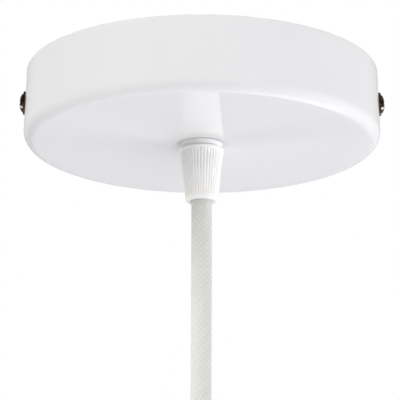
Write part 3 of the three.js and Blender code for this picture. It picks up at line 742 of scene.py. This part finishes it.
def moulded_plastic():
    """White moulded plastic, a little translucent, with a fine spark-eroded grain and a very slight
    warm cast in its depth. Painted shade darkens the grooves between ribs, by how deep each point lies in
    them."""
    white, shade = (0.93, 0.922, 0.9), (0.9, 0.892, 0.868)
    material = satin("moulded_white_plastic", white, shade, 0.3, 0.35 * mm, 0.012 * mm)
    tree, shader, base, add, calc = reopened(material)
    shader.inputs["Subsurface Weight"].default_value = 0.35
    shader.inputs["Subsurface Radius"].default_value = (1.0, 0.85, 0.45)
    shader.inputs["Subsurface Scale"].default_value = 1.6 * mm
    # Painted shade in the grooves between ribs: the colour turns darker and warmer with the groove depth.
    groove = add("ShaderNodeAttribute", {"attribute_name": "groove"}).outputs["Fac"]
    depth = calc("MULTIPLY", groove, 0.15)
    mix = add("ShaderNodeMix", {"data_type": "RGBA"}, i0=depth, i6=base, i7=(0.62, 0.6, 0.53, 1))
    tree.links.new(mix.outputs[2], shader.inputs["Base Color"])
    return material


plastic_finish = moulded_plastic()


def cone_points(columns=480):
    """The cone nut's wall as closed rings: up the outside, over the lip and down the bore. Between lip
    and end collar the radius falls by half a cosine between ribs, easing in over one rib's depth
    under the lip and over two above the collar."""
    span = cone_high.z - nut_end
    rib_top = cone_high.z - lip_height
    rib_end = nut_end + end_collar

    def crest(height):
        return cone_top_radius + (cone_end_radius - cone_top_radius) * (cone_high.z - height) / span

    outside = [
        *bend((cone_end_radius - end_round, nut_end + end_round), end_round, -90, -6, 7),
        *[(crest(z), z) for z in np.linspace(nut_end + 0.6 * mm, rib_top, 84)],
        *bend((cone_lip - lip_round, rib_top + lip_round), lip_round, -40, 0, 4),
        *bend((cone_lip - lip_round, cone_seat - lip_round), lip_round, 0, 90, 7),
    ]
    inside = [
        (spigot_radius + fit_gap, cone_seat),
        (spigot_radius + fit_gap, spigot_end - fit_gap),
        (seat_radius, spigot_end - fit_gap),
        (throat_radius, throat),
        (cable_hole, throat),
        (cable_hole, nut_end + 0.15 * mm),
        (cable_hole + 0.1 * mm, nut_end),
        (cone_end_radius - end_round, nut_end),
    ]
    profile = np.array(outside + inside)
    ribbed = (np.arange(len(profile)) < len(outside))[:, None]

    def grooves(height, angle):
        ease_end = np.clip((height - rib_end) / (2 * rib_depth), 0, 1)
        ease_top = np.clip((rib_top - height) / rib_depth, 0, 1)
        return np.where(ribbed, ease_end * ease_top * (0.5 - 0.5 * np.cos(rib_count * angle)) ** 1.1, 0)

    def ribs(height, angle):
        return 1 - rib_depth * grooves(height, angle) / profile[:, :1]

    angle = (2 * np.pi * np.arange(columns) / columns)[None, :]
    return revolved(profile, columns, ribs), grooves(profile[:, 1:], angle)


# The second grid is how deep each point lies in a groove, which the finish paints as shade.
cone_grid, cone_groove_shade = cone_points()
cone = skin("ribbed_cone_nut", cone_grid, crease=60, groove=cone_groove_shade)
cone.data.materials.append(plastic_finish)
stands_for(cone, "white_plastic", "grip_cone")


def grip_body_points(columns=120):
    """The body's wall as closed rings. The flange narrows downwards by a straight bevel. The stem has a
    thread, a triangle wave of height and turn, between the flange and the chamfered top."""
    jaw_tip = body_low.z
    stem_heights = np.linspace(flange_top + 0.1 * mm, body_high.z - stem_chamfer, 64)
    profile = np.array([
        (bore_radius, jaw_tip),
        (jaw_tip_radius, jaw_tip),
        (jaw_root_radius, spigot_end),
        (spigot_radius, spigot_end),
        (spigot_radius, flange_bottom),
        (bevel_radius, flange_bottom),
        (flange_radius, flange_top - 0.02 * mm),
        (flange_radius - 0.02 * mm, flange_top),
        (stem_radius, flange_top),
        *[(stem_radius, z) for z in stem_heights],
        (stem_radius - stem_chamfer, body_high.z),
        (bore_radius, body_high.z),
        (bore_radius, jaw_tip),
    ])

    def thread(height, angle):
        wave = np.abs(((height / stem_pitch - angle / (2 * np.pi)) % 1) * 2 - 1)
        on_stem = (height > cup_low.z + cup_wall) & (profile[:, :1] > stem_radius - 0.1 * mm)
        return np.where(on_stem, 1 - stem_thread * wave / stem_radius, 1)

    return revolved(profile, columns, thread)


body = skin("grip_body_moulding", grip_body_points(), crease=40)
slots = []
slot_reach = 9 * mm
slot_half = 0.5 * mm
slot_top = spigot_end + 1.5 * mm
slot_low = body_low.z - 1 * mm
for number, turn in enumerate((0.25, 0.75)):
    x, y = np.array([-1, 1, 1, -1]) * slot_reach, np.array([-1, -1, 1, 1]) * slot_half
    c, s = math.cos(turn * math.pi), math.sin(turn * math.pi)
    ring = np.stack([c * x - s * y, s * x + c * y], axis=-1)
    block = [[(x, y, z) for x, y in ring] for z in (slot_low, slot_top)]
    caps = [[(0, 0, z)] * 4 for z in (slot_low, slot_top)]
    slots.append(skin(f"jaw_slot_{number}", np.array([caps[0], *block, caps[1]])))
body = bored(body, *slots)
body.data.materials.clear()
body.data.materials.append(plastic_finish)
stands_for(body, "white_plastic", "grip_body")


def refined(name, node, slot, finish, edge=0.12 * mm, crease=32):
    """A copy of a plain solid, its loose triangles merged and its flat faces joined, with its sharp
    edges broken by a small bevel."""
    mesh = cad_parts[node].data.copy()
    work = bmesh.new()
    work.from_mesh(mesh)
    bmesh.ops.remove_doubles(work, verts=work.verts, dist=0.001 * mm)
    bmesh.ops.dissolve_limit(work, angle_limit=math.radians(1), verts=work.verts, edges=work.edges)
    work.to_mesh(mesh)
    work.free()
    mesh.materials.clear()
    mesh.materials.append(finish)
    piece = finished(name, mesh, crease)
    bevel = piece.modifiers.new("broken_edge", "BEVEL")
    bevel.width = edge
    bevel.segments = 2
    bevel.limit_method = "ANGLE"
    bevel.angle_limit = math.radians(crease)
    bevel.harden_normals = True
    return stands_for(piece, slot, node)


refined("grip_lock_nut", "grip_nut", "white_plastic", plastic_finish, edge=0.2 * mm)
washer_white, washer_shade = (0.8, 0.8, 0.77), (0.74, 0.74, 0.71)
washer_finish = satin("grey_white_washer", washer_white, washer_shade, 0.5, 0.4 * mm, 0.015 * mm)
refined("grip_lock_washer", "grip_washer", "washer_plastic", washer_finish)


# Ceiling bracket
# Blanked and bent from 1.5 mm zinc-plated strip, with two long slots for the ceiling screws and
# drawn, tapped collars for the side screws in its ears and for the earth screw.

zinc_finish = plated("zinc_plate", (0.62, 0.64, 0.66), 0.32, 0.4 * mm, 0.015 * mm, (0.15, 1, 1))
refined("zinc_bracket", "ceiling_bracket", "zinc_steel", zinc_finish, edge=0.15 * mm)


# Earth connection
# A tinned ring terminal crimped onto the earth lead, a washer and a zinc-plated screw, driven from
# below into the bracket's collar.

refined("earth_ring_terminal", "earth_ring", "tinned_steel", tinned_finish, edge=0.08 * mm)
refined("earth_lock_washer", "earth_washer", "zinc_steel", zinc_finish, edge=0.08 * mm)
earth_low, earth_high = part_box("earth_screw")
earth_middle = (earth_low + earth_high) / 2
earth_head = 2.3 * mm
earth_shank = earth_high.z - earth_low.z - earth_head
earth_points, _ = screw_points(
    flange=3.7 * mm, flange_height=0.7 * mm, dome=3.4 * mm, head_height=earth_head, length=earth_shank)
earth_points = earth_points * np.array([1, -1, -1])
earth_points += np.array([earth_middle.x, earth_middle.y, earth_low.z + earth_head])
earth_screw = skin("zinc_earth_screw", earth_points, crease=40)
earth_screw.data.materials.append(zinc_finish)
stands_for(earth_screw, "zinc_steel", "earth_screw")


# Terminal strip
# A three-pole screw connector: a moulded off-white polyamide housing, a brass tube in each pole,
# and two slotted clamp screws over each tube.

nylon_cream, nylon_shade = (0.76, 0.74, 0.66), (0.7, 0.68, 0.6)
nylon_finish = satin("off_white_polyamide", nylon_cream, nylon_shade, 0.42, 0.5 * mm, 0.02 * mm)
brass_finish = plated("turned_brass", (0.8, 0.58, 0.25), 0.25, 0.3 * mm, 0.012 * mm, (1, 0.2, 0.2))
refined("connector_housing", "terminal_housing", "block_plastic", nylon_finish, edge=0.2 * mm)
for pole in (1, 2, 3):
    refined(f"brass_tube_{pole}", f"terminal_tube_{pole}", "brass", brass_finish, edge=0.08 * mm)
for number in range(1, 7):
    solid = f"terminal_screw_{number}"
    refined(f"clamp_screw_{number}", solid, "tinned_steel", tinned_finish, edge=0.06 * mm)


# Cores inside the cup
# The cable's three cores arch over from its end to their poles, and a short earth lead joins the
# ring terminal to the earth pole's other end. Each ends inside its brass tube.

block_low, block_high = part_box("terminal_housing")
ring_low, ring_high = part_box("earth_ring")
pole_pitch = 10 * mm
tube_axis = block_low.z + 5.5 * mm
sheath_top = held_high.z
block_face = block_low.x
block_back = block_high.x


def smooth_route(points, samples=14):
    """A centripetal curve through the points: between each two, three nested blends of the lines
    through the four nearest, weighted by knots that grow by the square root of the spacing. The
    ends are carried on by their own last step."""
    points = np.asarray(points, float)
    points = np.concatenate([[2 * points[0] - points[1]], points, [2 * points[-1] - points[-2]]])
    knot = np.concatenate([[0], np.cumsum(np.linalg.norm(np.diff(points, axis=0), axis=1) ** 0.5)])
    pieces = []
    for k in range(1, len(points) - 2):
        t = np.linspace(knot[k], knot[k + 1], samples, endpoint=False)[:, None]
        level, q = list(points[k - 1:k + 3]), knot[k - 1:k + 3]
        for low, high in (((0, 1, 2), (1, 2, 3)), ((0, 1), (2, 3)), ((1,), (2,))):
            share = [(t - q[i]) / (q[j] - q[i]) for i, j in zip(low, high)]
            level = [(1 - s) * level[n] + s * level[n + 1] for n, s in enumerate(share)]
        pieces.append(level[0])
    return np.concatenate([*pieces, points[-2][None]])


def core_route(pole):
    """The route of a core, as in the solid: out of the sheath, over the crest, and down to its pole."""
    target = (pole - 1) * pole_pitch
    angle = (pole - 1) * math.pi / 3
    out_x = -core_circle if pole == 1 else core_circle * math.cos(angle)
    out_y = core_circle * math.sin(angle)
    crest = sheath_top + (6.2 * mm if pole == 1 else 4.6 * mm)
    return [
        (out_x, out_y, sheath_top),
        (out_x, out_y * 1.03, sheath_top + 2.6 * mm),
        (out_x + 2 * mm, target * 0.3, crest),
        (block_face * 0.4, target * 0.66, crest - 0.4 * mm),
        (block_face * 0.66, target * 0.92, (crest + tube_axis) / 2 + 0.6 * mm),
        (block_face - 2.6 * mm, target, tube_axis + 1.1 * mm),
        (block_face, target, tube_axis),
        (block_face + 1.6 * mm, target, tube_axis),
    ]


for pole, name in enumerate(core_order):
    core = swept(f"inner_core_{name}", smooth_route(core_route(pole)), core_radius)
    core.data.materials.append(core_finish[name])
    stands_for(core, core_slot[name], f"core_{name}")

earth_x = earth_middle.x
lead_start = 6.6 * mm
barrel_z = ring_high.z - 1.8 * mm
lead_route = [
    (earth_x, lead_start, barrel_z),
    (earth_x, lead_start + 4 * mm, barrel_z),
    (earth_x + 0.4 * mm, lead_start + 8.4 * mm, barrel_z - 2.4 * mm),
    (earth_x, lead_start + 9.4 * mm, barrel_z - 7 * mm),
    ((earth_x + block_back) / 2 + 2.6 * mm, pole_pitch + 4 * mm, (barrel_z + tube_axis) / 2 - 4.6 * mm),
    (block_back + 3.4 * mm, pole_pitch + 0.6 * mm, tube_axis + 0.6 * mm),
    (block_back, pole_pitch, tube_axis),
    (block_back - 1.6 * mm, pole_pitch, tube_axis),
]
earth_lead = swept("earth_lead_wire", smooth_route(lead_route), core_radius)
earth_lead.data.materials.append(core_finish["earth"])
stands_for(earth_lead, "earth_insulation", "earth_lead")


# Studio
# The canopy hangs over a plain pale floor, in soft even light from broad lamps on all sides. The room
# that its gloss mirrors is dark in front and pale behind, with one card and one lamp showing in it.
# Seen directly, floor and room are whiter than the light that they give.

floor_height = -2.5
floor_corner = 20.0
floor_white = 0.5
ambient_level = 0.4
mirrored_front = 0.06
mirrored_back = 0.58

x, y = np.array([-1, 1, 1, -1]) * floor_corner, np.array([-1, -1, 1, 1]) * floor_corner
floor_mesh = bpy.data.meshes.new("floor")
floor_mesh.from_pydata([(*corner, floor_height) for corner in zip(x, y)], [], [(0, 1, 2, 3)])
floor = bpy.data.objects.new("floor", floor_mesh)
bpy.context.scene.collection.objects.link(floor)
floor_material, floor_tree, floor_shader, add, calc = recipe("pale_floor")
floor_shader.inputs["Base Color"].default_value = (0.86, 0.86, 0.87, 1)
floor_shader.inputs["Roughness"].default_value = 0.9
floor_shader.inputs["Emission Color"].default_value = (1, 1, 1, 1)
seen_only = calc("MULTIPLY", add("ShaderNodeLightPath").outputs["Is Camera Ray"], floor_white)
floor_tree.links.new(seen_only, floor_shader.inputs["Emission Strength"])
floor_mesh.materials.append(floor_material)


def room(sky):
    """The strength of the room's white light. It is ambient_level for light on the object, one where
    the room is seen directly or through glass, and in gloss a smooth step from front to back."""
    add, calc = node_tools(sky)
    rays = add("ShaderNodeLightPath").outputs
    seen = calc("MAXIMUM", rays["Is Camera Ray"], rays["Is Transmission Ray"])
    level = add("ShaderNodeMapRange", i0=seen, i3=ambient_level, i4=1.0).outputs[0]
    way = add("ShaderNodeSeparateXYZ", i0=add("ShaderNodeTexCoord").outputs["Generated"]).outputs[1]
    smooth = {"interpolation_type": "SMOOTHSTEP"}
    step = add("ShaderNodeMapRange", smooth, i0=way, i1=0.3, i2=0.8, i3=mirrored_front, i4=mirrored_back)
    in_gloss, gloss = rays["Is Glossy Ray"], step.outputs[0]
    mirror = add("ShaderNodeMix", {"data_type": "FLOAT"}, i0=in_gloss, i2=level, i3=gloss)
    sky.links.new(mirror.outputs[0], sky.nodes["Background"].inputs["Strength"])
    sky.nodes["Background"].inputs["Color"].default_value = (1, 1, 1, 1)


world = bpy.data.worlds.new("studio")
world.use_nodes = True
bpy.context.scene.world = world
room(world.node_tree)


def lamp(name, kind, place, target, watts, color, mirrored=False, **settings):
    """A lamp at a place, facing a target point. Only a mirrored one shows in glossy surfaces."""
    lamp_data = bpy.data.lights.new(name, kind)
    lamp_data.energy = watts
    lamp_data.color = color
    for setting, value in settings.items():
        setattr(lamp_data, setting, value)
    direction = Vector(target) - Vector(place)
    turn = direction.to_track_quat("-Z", "Y").to_matrix().to_4x4()
    piece = bpy.data.objects.new(name, lamp_data)
    piece.matrix_world = Matrix.Translation(place) @ turn
    piece.visible_glossy = mirrored
    bpy.context.scene.collection.objects.link(piece)


def broad_lamp(name, place, size, watts, color, mirrored=False):
    """A soft lamp, so wide and so high, facing the middle of the cup."""
    width, height = size
    middle_of_cup = (0, 0, -0.02)
    sizes = {"shape": "RECTANGLE", "size": width, "size_y": height}
    lamp(name, "AREA", place, middle_of_cup, watts, color, mirrored, **sizes)


broad_lamp("key_lamp", (1.4, -1.0, -0.1), (0.8, 0.8), 3.0, (1.0, 1.0, 0.995))
broad_lamp("strip_lamp", (1.0, -0.75, -0.95), (2.4, 0.35), 17.0, (0.975, 0.96, 1.0))
broad_lamp("card_lamp", (0.55, 1.0, -1.35), (0.8, 0.7), 2.4, (1.0, 1.0, 1.0), mirrored=True)
broad_lamp("top_lamp", (0.96, -0.72, 1.06), (0.7, 0.7), 2.5, (1.0, 1.0, 1.0), mirrored=True)
broad_lamp("side_lamp", (1.6, 0.3, -0.5), (0.8, 0.8), 7.0, (1.0, 1.0, 1.0))
broad_lamp("left_lamp", (-1.3, -1.0, 0.5), (0.8, 0.8), 7.8, (1.0, 1.0, 1.0))
broad_lamp("high_left_lamp", (-1.2, -1.0, 1.1), (0.8, 0.8), 15.6, (1.0, 1.0, 1.0))
broad_lamp("low_left_lamp", (-1.2, 0.6, -1.0), (0.8, 0.8), 6.5, (1.0, 0.96, 0.88))
broad_lamp("low_back_lamp", (0.2, 1.2, -1.5), (1.2, 1.2), 10.2, (0.85, 0.83, 1.0))
lamp("cable_spot", "SPOT", (-0.8, -0.25, -0.16), (0, 0, -0.11), 8.0, (1.0, 1.0, 0.95),
     spot_size=math.radians(11.5), spot_blend=1.0, shadow_soft_size=0.04)

bpy.context.scene.view_settings.view_transform = "Standard"
